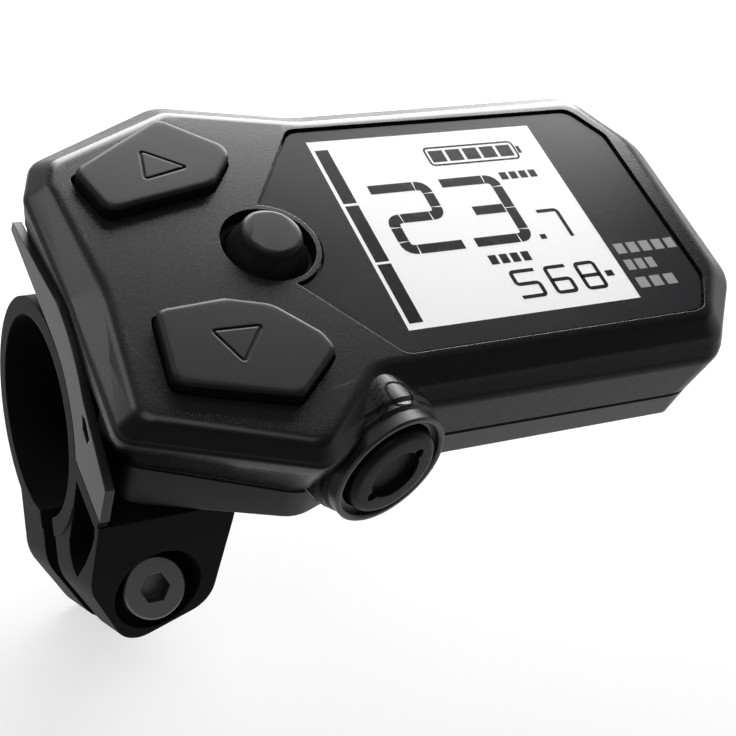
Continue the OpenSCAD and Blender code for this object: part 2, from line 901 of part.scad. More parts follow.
module up_plunger() {
    color("#b8863b")
        translate([button_x, body_back + button_y, plunger_z])
            cylinder(r = plunger_r, h = plunger_top - plunger_z);
}

module mode_plunger() {
    color("#b8863b")
        translate([mode_x, mode_y, plunger_z])
            cylinder(r = plunger_r, h = plunger_top - plunger_z);
}

module light_plunger() {
    color("#b8863b")
        light_axis(light_plunger_y)
            cylinder(r = plunger_r, h = plunger_up + plunger_in);
}

module light_board() {
    color("#1f4a33")
        light_axis(light_board_y)
            cylinder(r = boss_bore_r - fit, h = light_board_t);
}

// Rubber ring of a large button, between its flange and the roof
module large_seal() {
    linear_extrude(seal_t)
        difference() {
            polygon(button_outline(-flange_out));
            polygon(button_outline(-button_gap));
        }
}

module button_seals() {
    color("#161616")
        translate([0, 0, flange_top]) {
            large_seal();
            mirrored_up()
                large_seal();
            translate([mode_x, mode_y, 0])
                difference() {
                    cylinder(r = mode_flange_r, h = seal_t);
                    translate([0, 0, -over])
                        cylinder(r = mode_r + button_gap, h = seal_t + 2 * over);
                }
        }
}

module light_seal() {
    color("#161616")
        light_axis(boss_front)
            difference() {
                cylinder(r = light_flange_r, h = seal_t);
                translate([0, 0, -over])
                    cylinder(r = light_r + button_gap, h = seal_t + 2 * over);
            }
}

// Cable socket in the display end of the skirt
port_r = 1.5;
port_bore_r = 1.05;
port_up = 0.5;
port_len = 5;
port_x = at_share(2.498);
port_in = 1.4;
port_y = -band_r - port_in;
port_z = skirt_z + port_up + port_r;
pin_r = 0.25;

module port_axis(x) {
    translate([x, port_y, port_z])
        rotate([0, 90, 0])
            children();
}

module cable_port() {
    color("#1a1a1b")
        port_axis(port_x - port_len)
            difference() {
                cylinder(r = port_r, h = port_len);
                translate([0, 0, wall_t])
                    cylinder(r = port_bore_r, h = port_len);
                for (side = [-1, 1])
                    translate([0, side * port_bore_r / 2, -over])
                        cylinder(r = pin_r + fit / 2, h = port_len);
            }
}

module port_pins() {
    color("#c8a24a")
        for (side = [-1, 1])
            port_axis(port_x - port_len - wall_t)
                translate([0, side * port_bore_r / 2, 0])
                    cylinder(r = pin_r, h = port_len);
}

upper_housing();
lower_housing();
clamp_bracket();
clamp_bolt();
clamp_nut();
bracket_screws();
housing_screws();
housing_seal();
display_lens();
lens_gasket();
lcd_glass();
light_guide();
lcd_frame();
contact_strips();
main_board();
board_chips();
up_button();
down_button();
mode_button();
light_button();
light_collar();
up_plunger();
down_plunger();
mode_plunger();
light_plunger();
up_switch();
down_switch();
mode_switch();
light_switch();
light_board();
button_seals();
light_seal();
cable_port();
port_pins();
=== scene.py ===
"""Looks of a handlebar display and switch unit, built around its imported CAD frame.

Laid out as an add-on: settings in property groups, one operator for each piece or group
of like pieces, and a panel that shows both. Lengths are in millimetres unless a name or
a comment says otherwise, and one factor, MM, turns them into the metres of the frame.
"""

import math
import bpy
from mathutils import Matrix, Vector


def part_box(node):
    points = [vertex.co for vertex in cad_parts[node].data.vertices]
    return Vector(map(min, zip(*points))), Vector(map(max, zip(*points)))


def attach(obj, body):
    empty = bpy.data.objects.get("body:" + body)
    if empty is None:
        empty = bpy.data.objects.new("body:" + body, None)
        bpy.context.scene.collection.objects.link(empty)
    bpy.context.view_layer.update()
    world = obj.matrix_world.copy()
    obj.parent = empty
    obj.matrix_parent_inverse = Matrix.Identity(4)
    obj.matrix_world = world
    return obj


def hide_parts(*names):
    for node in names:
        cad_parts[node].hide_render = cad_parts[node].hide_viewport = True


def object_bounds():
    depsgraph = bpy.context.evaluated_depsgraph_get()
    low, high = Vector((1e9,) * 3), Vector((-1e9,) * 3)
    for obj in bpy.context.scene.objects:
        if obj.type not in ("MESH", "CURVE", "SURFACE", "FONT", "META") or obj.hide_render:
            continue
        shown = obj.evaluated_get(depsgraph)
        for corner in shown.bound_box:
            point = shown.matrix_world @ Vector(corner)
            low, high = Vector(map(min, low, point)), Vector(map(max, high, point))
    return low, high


bl_info = {
    "name": "Handlebar display looks",
    "version": (1, 0, 0),
    "blender": (4, 5, 0),
    "location": "View3D > Sidebar > Handlebar display",
    "description": "Finishes, display picture and studio of a handlebar display unit",
    "category": "Object",
}

import bmesh
import bpy
from bpy.props import FloatProperty, FloatVectorProperty, PointerProperty
from mathutils import Matrix, Vector
from mathutils.bvhtree import BVHTree

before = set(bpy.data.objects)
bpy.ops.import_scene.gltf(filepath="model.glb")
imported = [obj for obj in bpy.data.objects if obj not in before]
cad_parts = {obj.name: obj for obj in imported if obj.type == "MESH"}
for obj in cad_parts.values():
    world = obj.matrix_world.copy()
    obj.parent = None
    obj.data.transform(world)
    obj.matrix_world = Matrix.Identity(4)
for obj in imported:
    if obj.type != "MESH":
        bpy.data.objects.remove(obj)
CAD_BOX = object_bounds()

MM = 0.001

# Points nearer than this are one point, and shorter edges than this are dropped after cuts
WELD = 0.002
SHORTEST_EDGE = 0.001
# Angles above which an edge stays sharp: on most pieces, and on those with soft bows
CREASE_DEGREES = 33
SOFT_CREASE_DEGREES = 24


# Colours


def linear(hex_colour):
    """Linear RGBA of an sRGB hex colour."""
    text = hex_colour.lstrip("#")
    shares = [int(text[i:i + 2], 16) / 255 for i in (0, 2, 4)]
    light = [s / 12.92 if s <= 0.04045 else ((s + 0.055) / 1.055) ** 2.4 for s in shares]
    return (*light, 1.0)


# Places in the frame


def top_of(node):
    """Height of a node's top, in millimetres."""
    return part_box(node)[1].z / MM


# Node trees


def add_node(tree, kind, settings=(), inputs=(), **links):
    """Adds a node, sets its attributes and sockets, and links sockets by name."""
    node = tree.nodes.new(kind)
    for key, value in dict(settings).items():
        setattr(node, key, value)
    for key, value in dict(inputs).items():
        node.inputs[key].default_value = value
    for key, source in links.items():
        tree.links.new(source, node.inputs[key.replace("_", " ")])
    return node


def new_material(name):
    """Empty node material, its tree and its output node."""
    material = bpy.data.materials.new(name)
    material.use_nodes = True
    tree = material.node_tree
    tree.nodes.clear()
    return material, tree, tree.nodes.new("ShaderNodeOutputMaterial")


BEVEL_SAMPLES = 6


def noise(tree, size_mm, detail):
    """Noise whose features have a real size."""
    place = add_node(tree, "ShaderNodeTexCoord")
    return add_node(tree, "ShaderNodeTexNoise", inputs={"Scale": 1 / (size_mm * MM), "Detail": detail},
                    Vector=place.outputs["Object"]).outputs["Fac"]


def tint(tree, colour, lighter, share):
    """Colour between two hex colours."""
    return add_node(tree, "ShaderNodeMix", settings={"data_type": "RGBA"},
                    inputs={"A": linear(colour), "B": linear(lighter)}, Factor=share).outputs["Result"]


def between(tree, low, high, share):
    """Value between two limits."""
    return add_node(tree, "ShaderNodeMapRange", inputs={"To Min": low, "To Max": high},
                    Value=share).outputs["Result"]


def grained_normal(tree, grain, strength, relief_mm, edge_mm):
    """Normal of a grained surface with rounded edges."""
    edge = add_node(tree, "ShaderNodeBevel", settings={"samples": BEVEL_SAMPLES},
                    inputs={"Radius": edge_mm * MM})
    return add_node(tree, "ShaderNodeBump", inputs={"Strength": strength, "Distance": relief_mm * MM},
                    Height=grain, Normal=edge.outputs["Normal"]).outputs["Normal"]


def moulded_plastic(name, colour, lighter, roughness, grain_mm, relief_mm, edge_mm, sheen, top_sheen=None):
    """Moulded plastic with a spark-eroded grain and rounded edges, and a sheen of its own on top or not."""
    cloud_mm = 9.0
    wall_level, top_level = 0.3, 0.95  # how much of the normal points up
    material, tree, output = new_material(name)
    grain = noise(tree, grain_mm, 3.0)
    shader = add_node(tree, "ShaderNodeBsdfPrincipled", inputs={"IOR": 1.53, "Specular IOR Level": sheen},
                      Base_Color=tint(tree, colour, lighter, noise(tree, cloud_mm, 2.0)),
                      Roughness=between(tree, roughness - 0.02, roughness + 0.03, grain),
                      Normal=grained_normal(tree, grain, 0.35, relief_mm, edge_mm))
    if top_sheen is not None:
        facing = add_node(tree, "ShaderNodeNewGeometry")
        upward = add_node(tree, "ShaderNodeSeparateXYZ", Vector=facing.outputs["Normal"])
        level = add_node(tree, "ShaderNodeMapRange",
                         inputs={"From Min": wall_level, "From Max": top_level,
                                 "To Min": sheen, "To Max": top_sheen},
                         Value=upward.outputs["Z"])
        tree.links.new(level.outputs["Result"], shader.inputs["Specular IOR Level"])
    tree.links.new(shader.outputs["BSDF"], output.inputs["Surface"])
    return material


def finished_metal(name, colour, lighter, roughness, metallic):
    """Plated or blackened metal with fine tool marks."""
    grain_mm, relief_mm, edge_mm = 0.3, 0.01, 0.12
    material, tree, output = new_material(name)
    marks = noise(tree, grain_mm, 4.0)
    shader = add_node(tree, "ShaderNodeBsdfPrincipled", inputs={"Metallic": metallic},
                      Base_Color=tint(tree, colour, lighter, marks),
                      Roughness=between(tree, roughness - 0.06, roughness + 0.08, marks),
                      Normal=grained_normal(tree, marks, 0.3, relief_mm, edge_mm))
    tree.links.new(shader.outputs["BSDF"], output.inputs["Surface"])
    return material


def flat_finish(name, colour, lighter, roughness, patch_mm, sheen=0.5, glow=0.0):
    """Smooth printed, moulded or coated surface with a faint cloud of tone, and a painted glow or not."""
    material, tree, output = new_material(name)
    cloud = noise(tree, patch_mm, 2.0)
    shader = add_node(tree, "ShaderNodeBsdfPrincipled",
                      inputs={"Specular IOR Level": sheen, "Emission Color": linear(colour),
                              "Emission Strength": glow},
                      Base_Color=tint(tree, colour, lighter, cloud),
                      Roughness=between(tree, max(roughness - 0.03, 0.02), roughness + 0.03, cloud))
    tree.links.new(shader.outputs["BSDF"], output.inputs["Surface"])
    return material


def make_materials():
    """Every finish of the unit, by the word that the operators use for it."""
    return {
        # Glass-filled nylon, moulded with a fine spark-eroded grain: a dark satin that
        # lifts to grey where it faces the light
        "housing": moulded_plastic("moulded_nylon_black", "#161618", "#1a1a1b", roughness=0.27,
                                   grain_mm=0.22, relief_mm=0.001, edge_mm=0.08, sheen=0.05, top_sheen=0.4),
        "lower": moulded_plastic("moulded_nylon_underside", "#1c1c1e", "#212123", roughness=0.42,
                                 grain_mm=0.22, relief_mm=0.006, edge_mm=0.2, sheen=0.34),
        "clamp": moulded_plastic("moulded_nylon_clamp", "#19191a", "#1e1e1f", roughness=0.5,
                                 grain_mm=0.22, relief_mm=0.006, edge_mm=0.25, sheen=0.03),
        # Silicone-coated ABS keys: a little smoother and greyer than the shells
        "button": moulded_plastic("moulded_abs_keys", "#1e1e20", "#222224", roughness=0.36,
                                  grain_mm=0.18, relief_mm=0.003, edge_mm=0.25, sheen=0.06, top_sheen=0.19),
        "front_button": moulded_plastic("moulded_abs_front_key", "#151516", "#19191a", roughness=0.42,
                                        grain_mm=0.2, relief_mm=0.006, edge_mm=0.15, sheen=0.08),
        "collar": moulded_plastic("moulded_abs_collar", "#1e1e20", "#232325", roughness=0.38,
                                  grain_mm=0.2, relief_mm=0.003, edge_mm=0.15, sheen=0.4),
        # Hard-coated polycarbonate with a black print behind it: smooth, with a clear reflection
        "lens": flat_finish("hard_coated_lens", "#28282a", "#2c2c2e", 0.27, patch_mm=12.0, sheen=0.16),
        # Reflective display, paper white under a coated glass, with a faint painted glow that keeps it white
        # where the lamps light it less
        "lcd": flat_finish("lcd_white_with_painted_glow", "#eff0ef", "#f2f3f2", 0.3, patch_mm=10.0, sheen=0.2,
                           glow=0.15),
        "ink": flat_finish("lcd_segment_black", "#1c1c1e", "#202022", 0.27, patch_mm=3.0, sheen=0.12),
        "print": flat_finish("grey_lens_print", "#8f8f91", "#979799", 0.6, patch_mm=3.0),
        # Near-black lines laid on a surface: painted shade of an engraved mark's grooves
        "mark": flat_finish("engraved_mark_shadow", "#0a0a0b", "#0d0d0e", 0.7, patch_mm=3.0, sheen=0.1),
        # Screws, nut and contacts: black-oxide steel has a low sheen, the plated ones shine
        "black_steel": finished_metal("black_oxide_steel", "#5e5e60", "#6c6c6e", 0.42, metallic=0.9),
        "bright_steel": finished_metal("zinc_plated_steel", "#a9acb0", "#b8bbbe", 0.35, metallic=1.0),
        "brass": finished_metal("gold_plated_brass", "#c79b4a", "#d5ad5e", 0.3, metallic=1.0),
        # Rubber, boards and inner mouldings
        "rubber": flat_finish("silicone_rubber_black", "#161617", "#1b1b1c", 0.8, patch_mm=2.0),
        "board": flat_finish("green_solder_mask", "#1d4a31", "#235539", 0.35, patch_mm=4.0),
        "chip": flat_finish("epoxy_moulding", "#1c1c1e", "#222224", 0.6, patch_mm=1.0),
        "white_plastic": flat_finish("white_pbt_frame", "#e2e2de", "#e8e8e4", 0.5, patch_mm=4.0),
        "guide": flat_finish("white_backed_acrylic", "#e9ebe8", "#f0f2ef", 0.2, patch_mm=6.0),
    }


# Meshes

# Straight steps in the bow at a corner
BOW_STEPS = 5


def new_object(name, data):
    """Object that is linked to the scene."""
    thing = bpy.data.objects.new(name, data)
    bpy.context.scene.collection.objects.link(thing)
    return thing


def add_piece(name, mesh, material, body, replaced=()):
    """Links a mesh as a finished piece that rides on a body."""
    piece = new_object(name, mesh)
    mesh.materials.clear()
    mesh.materials.append(material)
    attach(piece, body)
    if replaced:
        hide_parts(*replaced)
    return piece


def new_mesh(name, work):
    """Mesh made from a bmesh, which is freed."""
    mesh = bpy.data.meshes.new(name)
    work.to_mesh(mesh)
    work.free()
    return mesh


def clean_mesh(mesh, crease_degrees, shortest_edge=0.0):
    """Welds a mesh, drops edges that are too short and shades it smoothly up to its creases."""
    work = bmesh.new()
    work.from_mesh(mesh)
    bmesh.ops.remove_doubles(work, verts=work.verts, dist=WELD * MM)
    if shortest_edge:
        bmesh.ops.dissolve_degenerate(work, edges=work.edges, dist=shortest_edge * MM)
    for face in work.faces:
        face.smooth = True
    for edge in work.edges:
        edge.smooth = len(edge.link_faces) == 2 and edge.calc_face_angle() < math.radians(crease_degrees)
    work.to_mesh(mesh)
    work.free()


def welded_mesh(node, name, crease_degrees=CREASE_DEGREES):
    """Copy of a node's mesh, welded and shaded smoothly up to its creases."""
    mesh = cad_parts[node].data.copy()
    mesh.name = name
    clean_mesh(mesh, crease_degrees)
    return mesh


def weight_normals(piece):
    """Keeps flat faces flat beside rounded ones."""
    face_weight = 60
    modifier = piece.modifiers.new("flat_faces", "WEIGHTED_NORMAL")
    modifier.keep_sharp = True
    modifier.weight = face_weight


def dress(node, name, material, body, crease_degrees=CREASE_DEGREES):
    """Stands a welded, smoothly shaded copy in for a CAD node, and returns it."""
    piece = add_piece(name, welded_mesh(node, name, crease_degrees), material, body, [node])
    weight_normals(piece)
    return piece


def prism_mesh(name, outline, low, high):
    """Closed prism over a flat outline, from one height to another, all in millimetres."""
    work = bmesh.new()
    bottom = [work.verts.new((x * MM, y * MM, low * MM)) for x, y in outline]
    top = [work.verts.new((x * MM, y * MM, high * MM)) for x, y in outline]
    count = len(outline)
    work.faces.new(bottom[::-1])
    work.faces.new(top)
    for i in range(count):
        j = (i + 1) % count
        work.faces.new((bottom[i], bottom[j], top[j], top[i]))
    bmesh.ops.recalc_face_normals(work, faces=work.faces)
    return new_mesh(name, work)


def join_meshes(name, meshes):
    """One mesh from several."""
    work = bmesh.new()
    for mesh in meshes:
        work.from_mesh(mesh)
        bpy.data.meshes.remove(mesh)
    return new_mesh(name, work)


def rectangle(x, y, width, height):
    """Corners of a rectangle from its lower left corner."""
    return [(x, y), (x + width, y), (x + width, y + height), (x, y + height)]


def square(reach):
    """Corners of a square round the origin."""
    return rectangle(-reach, -reach, 2 * reach, 2 * reach)


def bow(start, corner, end, steps):
    """Points of a curve that leaves start towards a corner and comes from there to end."""
    shares = [k / steps for k in range(steps + 1)]
    return [(1 - t) ** 2 * start + 2 * t * (1 - t) * corner + t ** 2 * end for t in shares]


def softened(points, reaches, closed=False, steps=BOW_STEPS):
    """Path through the points whose corners are bows that begin a reach before each corner."""
    count = len(points)
    path = []
    for i, point in enumerate(points):
        if not closed and i in (0, count - 1):
            path.append(Vector(point))
            continue
        corner = Vector(point)
        before = Vector(points[i - 1]) - corner
        after = Vector(points[(i + 1) % count]) - corner
        reach = min(reaches[i], before.length / 2, after.length / 2)
        start = corner + before.normalized() * reach
        end = corner + after.normalized() * reach
        path += bow(start, corner, end, steps)
    return path


def rounded_path(points, reach, closed=False, steps=BOW_STEPS):
    """Centre line through the points, with a bow of the same reach at each corner."""
    return softened(points, [reach] * len(points), closed, steps)


def plan_ring(corners, inset=0.0):
    """Outline through corners of x, y and radius, listed anticlockwise, moved inwards by an inset."""
    least_radius = 0.1
    count = len(corners)
    places = [Vector(corner[:2]) for corner in corners]
    moved = []
    reaches = []
    for i in range(count):
        along = (places[i] - places[i - 1]).normalized()
        onward = (places[(i + 1) % count] - places[i]).normalized()
        inwards = Vector((-along.y, along.x)), Vector((-onward.y, onward.x))
        moved.append(places[i] + inset * (inwards[0] + inwards[1]) / (1 + inwards[0].dot(inwards[1])))
        turn = math.atan2(along.x * onward.y - along.y * onward.x, along.dot(onward))
        radius = max(corners[i][2] - math.copysign(inset, turn), least_radius)
        reaches.append(radius * math.tan(abs(turn) / 2))
    return softened(moved, reaches, closed=True)


def at_height(ring, z):
    """Points of an outline at a height."""
    return [(point.x, point.y, z) for point in ring]


def loft_mesh(name, rings):
    """Closed solid through rings of points with the same count, in millimetres."""
    work = bmesh.new()
    rows = [[work.verts.new(Vector(point) * MM) for point in ring] for ring in rings]
    count = len(rows[0])
    for lower, upper in zip(rows, rows[1:]):
        for i in range(count):
            j = (i + 1) % count
            work.faces.new((lower[i], lower[j], upper[j], upper[i]))
    work.faces.new(rows[0][::-1])
    work.faces.new(rows[-1])
    bmesh.ops.recalc_face_normals(work, faces=work.faces)
    bmesh.ops.triangulate(work, faces=work.faces)
    return new_mesh(name, work)


def rounded_loft(name, levels, reaches):
    """Closed solid through outlines and their heights, with a bow of a given reach at each of them."""
    profiles = [softened([(ring[i].x, ring[i].y, z) for ring, z in levels], reaches)
                for i in range(len(levels[0][0]))]
    rings = list(zip(*profiles))
    goes_down = levels[0][1] > levels[-1][1]
    return loft_mesh(name, rings[::-1] if goes_down else rings)


def turned_mesh(name, profile, placing):
    """Solid of revolution through points of radius and height, then placed by a matrix."""
    steps = 96
    least_radius = 0.001
    angles = [2 * math.pi * i / steps for i in range(steps)]
    rings = []
    for radius, height in profile:
        reach = max(radius, least_radius)
        rings.append([(reach * math.cos(angle), reach * math.sin(angle), height) for angle in angles])
    mesh = loft_mesh(name, rings)
    mesh.transform(placing)
    return mesh


def stroke_mesh(name, path, width, low, high, closed=False):
    """Flat bar of a given width along a centre line, between two heights."""
    shortest_mitre = 0.3
    count = len(path)
    sides = []
    for i in range(count):
        before = path[i - 1] if closed or i > 0 else path[i]
        after = path[(i + 1) % count] if closed or i < count - 1 else path[i]
        along_in = (path[i] - before).normalized() if before != path[i] else (after - path[i]).normalized()
        along_out = (after - path[i]).normalized() if after != path[i] else along_in
        normal_in = Vector((-along_in.y, along_in.x))
        normal_out = Vector((-along_out.y, along_out.x))
        mitre = (normal_in + normal_out) / max(1 + normal_in.dot(normal_out), shortest_mitre)
        sides.append((path[i] + mitre * width / 2, path[i] - mitre * width / 2))
    work = bmesh.new()
    rings = []
    for left, right in sides:
        rings.append([work.verts.new((p.x * MM, p.y * MM, z * MM))
                      for p, z in ((left, low), (right, low), (right, high), (left, high))])
    for i in range(count if closed else count - 1):
        near = rings[i]
        far = rings[(i + 1) % count]
        for k in range(len(near)):
            j = (k + 1) % len(near)
            work.faces.new((near[k], near[j], far[j], far[k]))
    if not closed:
        work.faces.new(rings[0][::-1])
        work.faces.new(rings[-1])
    bmesh.ops.recalc_face_normals(work, faces=work.faces)
    return new_mesh(name, work)


def scratch_piece(mesh):
    """Object that holds a mesh for as long as it is worked on."""
    return new_object("scratch", mesh)


def free_mesh(piece):
    """Mesh of a scratch piece, which is removed."""
    mesh = piece.data
    bpy.data.objects.remove(piece)
    return mesh


def combine(piece, tool_mesh, operation):
    """Joins a tool mesh to a piece, cuts it out or keeps only what both hold, for good."""
    if piece.data.materials:
        tool_mesh.materials.clear()
        tool_mesh.materials.append(piece.data.materials[0])
    tool = scratch_piece(tool_mesh)
    modifier = piece.modifiers.new("combine", "BOOLEAN")
    modifier.operation = operation
    modifier.solver = "MANIFOLD"
    modifier.object = tool
    graph = bpy.context.evaluated_depsgraph_get()
    piece.update_tag()
    graph.update()
    result = bpy.data.meshes.new_from_object(piece.evaluated_get(graph), preserve_all_data_layers=True,
                                             depsgraph=graph)
    piece.modifiers.remove(modifier)
    old = piece.data
    piece.data = result
    bpy.data.meshes.remove(old)
    bpy.data.meshes.remove(free_mesh(tool))
    if not result.polygons:
        raise RuntimeError("nothing is left of " + piece.name)


def cut_away(piece, tool_mesh):
    """Cuts a tool mesh out of a piece for good."""
    combine(piece, tool_mesh, "DIFFERENCE")


def close_points(path):
    """Path with more points set between its own, so that its stroke can follow a curved surface."""
    step = 0.2
    points = [path[0]]
    for start, end in zip(path, path[1:]):
        count = max(1, math.ceil((end - start).length / step))
        points += [start.lerp(end, i / count) for i in range(1, count + 1)]
    return points


def drape(mesh, target, lift):
    """Lays a mesh made at height zero onto a piece, a lift above its surface."""
    tree = BVHTree.FromObject(target, bpy.context.evaluated_depsgraph_get())
    above_all = 1.0  # metres
    down = Vector((0, 0, -1))
    for vertex in mesh.vertices:
        hit = tree.ray_cast(Vector((vertex.co.x, vertex.co.y, above_all)), down)[0]
        if hit is None:
            raise RuntimeError("a mark lies beyond the piece that carries it")
        vertex.co.z += hit.z + lift * MM


# Settings


def length(name, description, size_mm):
    """Setting that holds a length."""
    return FloatProperty(name=name, description=description, default=size_mm * MM, unit="LENGTH", precision=5)


class HousingLooks(bpy.types.PropertyGroup):
    """Sizes of the marks on the housing and the buttons."""

    mark_width: length("Mark width", "Width of the engraved lines", 0.32)
    mark_depth: length("Mark depth", "Depth of the engraved lines", 0.2)


class DisplayLooks(bpy.types.PropertyGroup):
    """Sizes of the picture on the display."""

    window_width: length("Window width", "Width of the clear window", 30.45)
    window_height: length("Window height", "Height of the clear window", 29.1)
    digit_stroke: length("Digit stroke", "Width of the large digits' segments", 1.36)
    small_stroke: length("Small stroke", "Width of the small digits' segments", 0.5)


class StudioLooks(bpy.types.PropertyGroup):
    """Lamps, floor and camera."""

    rear_power: FloatProperty(name="Rear lamp", description="Power of the soft box close behind the unit",
                              default=0.74, unit="POWER")
    left_power: FloatProperty(name="Left lamp", description="Power of the soft box behind the clamp end",
                              default=0.13, unit="POWER")
    top_power: FloatProperty(name="Top lamp", description="Power of the soft box above the unit",
                             default=0.36, unit="POWER")
    sky_strength: FloatProperty(name="Sky", description="Strength of the even light all round",
                                default=0.1, subtype="FACTOR")
    floor_colour: FloatVectorProperty(name="Floor", description="Colour of the floor", subtype="COLOR",
                                      size=4, default=linear("#ffffff"))
    focal_length: FloatProperty(name="Focal length", description="Focal length on a 36 mm sensor",
                                default=77.73, unit="CAMERA")


class UnitLooks(bpy.types.PropertyGroup):
    """All settings of the unit."""

    housing: PointerProperty(type=HousingLooks)
    display: PointerProperty(type=DisplayLooks)
    studio: PointerProperty(type=StudioLooks)


def looks():
    """Settings of this scene."""
    return bpy.context.scene.handlebar_display


FINISHES = {}


# Operators, each below the sizes that it uses


# Outlines of the housing that the solids have, anticlockwise, as corners of x, y and radius
EDGE_CORNERS = [(-9.6, -10.1, 2.5), (-7.6, -14.7, 3.4), (8.9, -22.4, 4.9), (24.8, -19.1, 19.7),
                (64.6, -19.4, 4.9), (70.3, -9.4, 7.4), (70.3, 13.8, 7.4), (64.6, 23.8, 4.9),
                (24.8, 23.5, 19.7), (8.9, 26.8, 4.9), (-7.6, 19.1, 3.4), (-9.6, 14.5, 2.5)]
WAIST_CORNERS = [(-8.9, -7.3, 2.5), (-6.5, -14.8, 3.4), (11.0, -21.3, 4.9), (24.8, -17.0, 19.7),
                 (63.6, -17.3, 4.9), (68.9, -8.6, 7.4), (68.9, 13.0, 7.4), (63.6, 21.7, 4.9),
                 (24.8, 21.4, 19.7), (11.0, 25.7, 4.9), (-6.5, 19.2, 3.4), (-8.9, 11.7, 2.5)]
SEAM_CORNERS = [(-8.9, -7.3, 2.5), (-6.4, -14.7, 3.4), (10.6, -22.0, 4.9), (24.8, -17.9, 19.7),
                (63.6, -18.2, 4.9), (68.7, -8.9, 7.4), (68.7, 13.3, 7.4), (63.6, 22.6, 4.9),
                (24.8, 22.3, 19.7), (10.6, 26.4, 4.9), (-6.4, 19.1, 3.4), (-8.9, 11.7, 2.5)]
FACE_Z = 21.0
EDGE_Z = 18.9
WAIST_Z = 12.6
SEAM_Z = 9.8
SHOULDER_IN = 3.2
# Behind this place and below this height, the outside stays as the solids have it
REAR_Y = -12.3
REAR_TOP = 16.0

# Softened form of the upper shell: its ridge round the face, the foot of the shoulder, and
# the fold in the wall below it
RIDGE_CORNERS = [(-5.9, -1.5, 14.0), (-7.75, -17.4, 2.2), (9.5, -24.0, 2.8), (18.0, -15.6, 4.0),
                 (62.3, -15.6, 3.5), (66.8, -8.8, 5.0), (67.1, 12.95, 5.0), (62.75, 20.6, 3.0),
                 (24.5, 20.3, 16.0), (8.9, 23.5, 3.0), (-6.2, 17.0, 3.0), (-7.3, 13.7, 3.0)]
FOOT_CORNERS = [(-9.4, -0.5, 14.0), (-9.95, -18.6, 2.6), (9.3, -25.8, 2.8), (22.5, -18.0, 5.0),
                (63.2, -18.0, 4.0), (70.2, -9.3, 6.0), (70.33, 13.8, 7.4), (64.63, 23.83, 4.9),
                (24.8, 23.53, 19.7), (8.9, 26.83, 4.9), (-7.7, 19.15, 3.4), (-9.7, 14.4, 2.5)]
FOLD_CORNERS = [(-9.3, -0.5, 14.0), (-9.7, -18.0, 2.6), (9.6, -25.0, 2.8), (23.0, -19.0, 5.0),
                (63.7, -19.2, 4.5), (69.87, -9.4, 7.0), (69.87, 13.5, 7.4), (64.33, 23.2, 4.9),
                (24.8, 22.9, 19.7), (9.6, 26.5, 4.9), (-7.3, 19.2, 3.4), (-9.45, 13.6, 2.5)]
FOLD_Z = 16.8
# Reaches of the bows at the ridge, the foot and the fold, and width of the rim of the face
RIDGE_BOW = 0.9
FOOT_BOW = 0.6
FOLD_BOW = 1.0
RIM_WIDTH = 1.6
# How far the soft form stands past the solids' face and seam, and out from the seam's outline,
# and how deep its layer goes
OVERLAP = 0.004
SEAM_OUT = 0.01
SKIN = 0.6

# Boss of the front button: its place, its turns in degrees, its outside and the room for
# the collar, both as points of radius and depth
BOSS_PLACE = (18.5, -22.3, 13.3)
BOSS_TURN = 12.0
BOSS_TIP = -97.0
BOSS_PROFILE = [(0, 0), (7.0, 0), (7.35, 0.35), (7.35, 0.9), (7.7, 1.25), (8.3, 9.5), (0, 9.5)]
COLLAR_ROOM = [(0, -12), (7.1, -12), (7.1, 0.02), (6.6, 0.02), (6.6, 9), (0, 9)]

# Corners of the two large keys in plan, anticlockwise, the gap round them, and the bow and
# the rim along their upper edge
DOWN_KEY = [(-3.75, -15.2, 1.7), (8.3, -19.1, 1.6), (14.3, -13.9, 1.4), (13.6, -11.5, 1.6),
            (9.7, -6.9, 2.6), (5.0, -5.4, 2.4), (-2.6, -5.9, 1.3)]
UP_KEY = [(-2.9, 7.9, 1.6), (9.9, 10.5, 2.6), (13.3, 14.6, 2.4), (13.1, 16.3, 1.5), (6.9, 21.3, 1.6),
          (-4.8, 14.3, 1.6)]
KEY_GAP = 0.25
KEY_BOW = 0.8
KEY_RIM = 1.2
# Openings that the solids have for the two keys, and how far their filling reaches past them
SOLID_DOWN_KEY = [(-2.6, -12.0, 1.7), (8.8, -17.4, 1.7), (14.5, -13.0, 1.5), (11.6, -7.8, 3.0),
                  (7.6, -5.4, 3.0), (-1.6, -4.4, 1.5)]
SOLID_UP_KEY = [(-1.6, 8.8, 1.5), (7.6, 9.8, 3.0), (11.6, 12.2, 3.0), (14.5, 17.4, 1.5),
                (8.8, 21.8, 1.7), (-2.6, 16.4, 1.7)]
FILLING_OVER = 0.4
# How far cuts reach above the face that they open, and the keys' openings below the roof
CUT_OVER = 1
OPENING_BELOW = 0.5
# Underside of the shell's roof, and how far above it the keys' own caps begin
ROOF_Z = 19.2
CAP_ABOVE_ROOF = 0.65

# Outline of the lens and the groove round it, which stops at the lip of the mode button's well
LENS_CORNERS = [(14.0, -2.7, 1.0), (22.5, -14.6, 2.2), (61.4, -14.6, 2.5), (64.3, -9.8, 2.5),
                (64.3, 14.2, 2.5), (61.4, 19.0, 2.5), (22.5, 19.0, 2.2), (14.0, 7.1, 1.0)]
GROOVE_WIDTH = 0.36
GROOVE_DEPTH = 0.9
MODE_PLACE = (13.28, 2.2)
MODE_LIP_RADIUS = 5.9


def boss_placing():
    """Matrix that places things turned about the front button's axis, whose +Z points inwards."""
    return (Matrix.Translation(Vector(BOSS_PLACE) * MM)
            @ Matrix.Rotation(math.radians(BOSS_TURN), 4, "Z")
            @ Matrix.Rotation(math.radians(BOSS_TIP), 4, "X"))


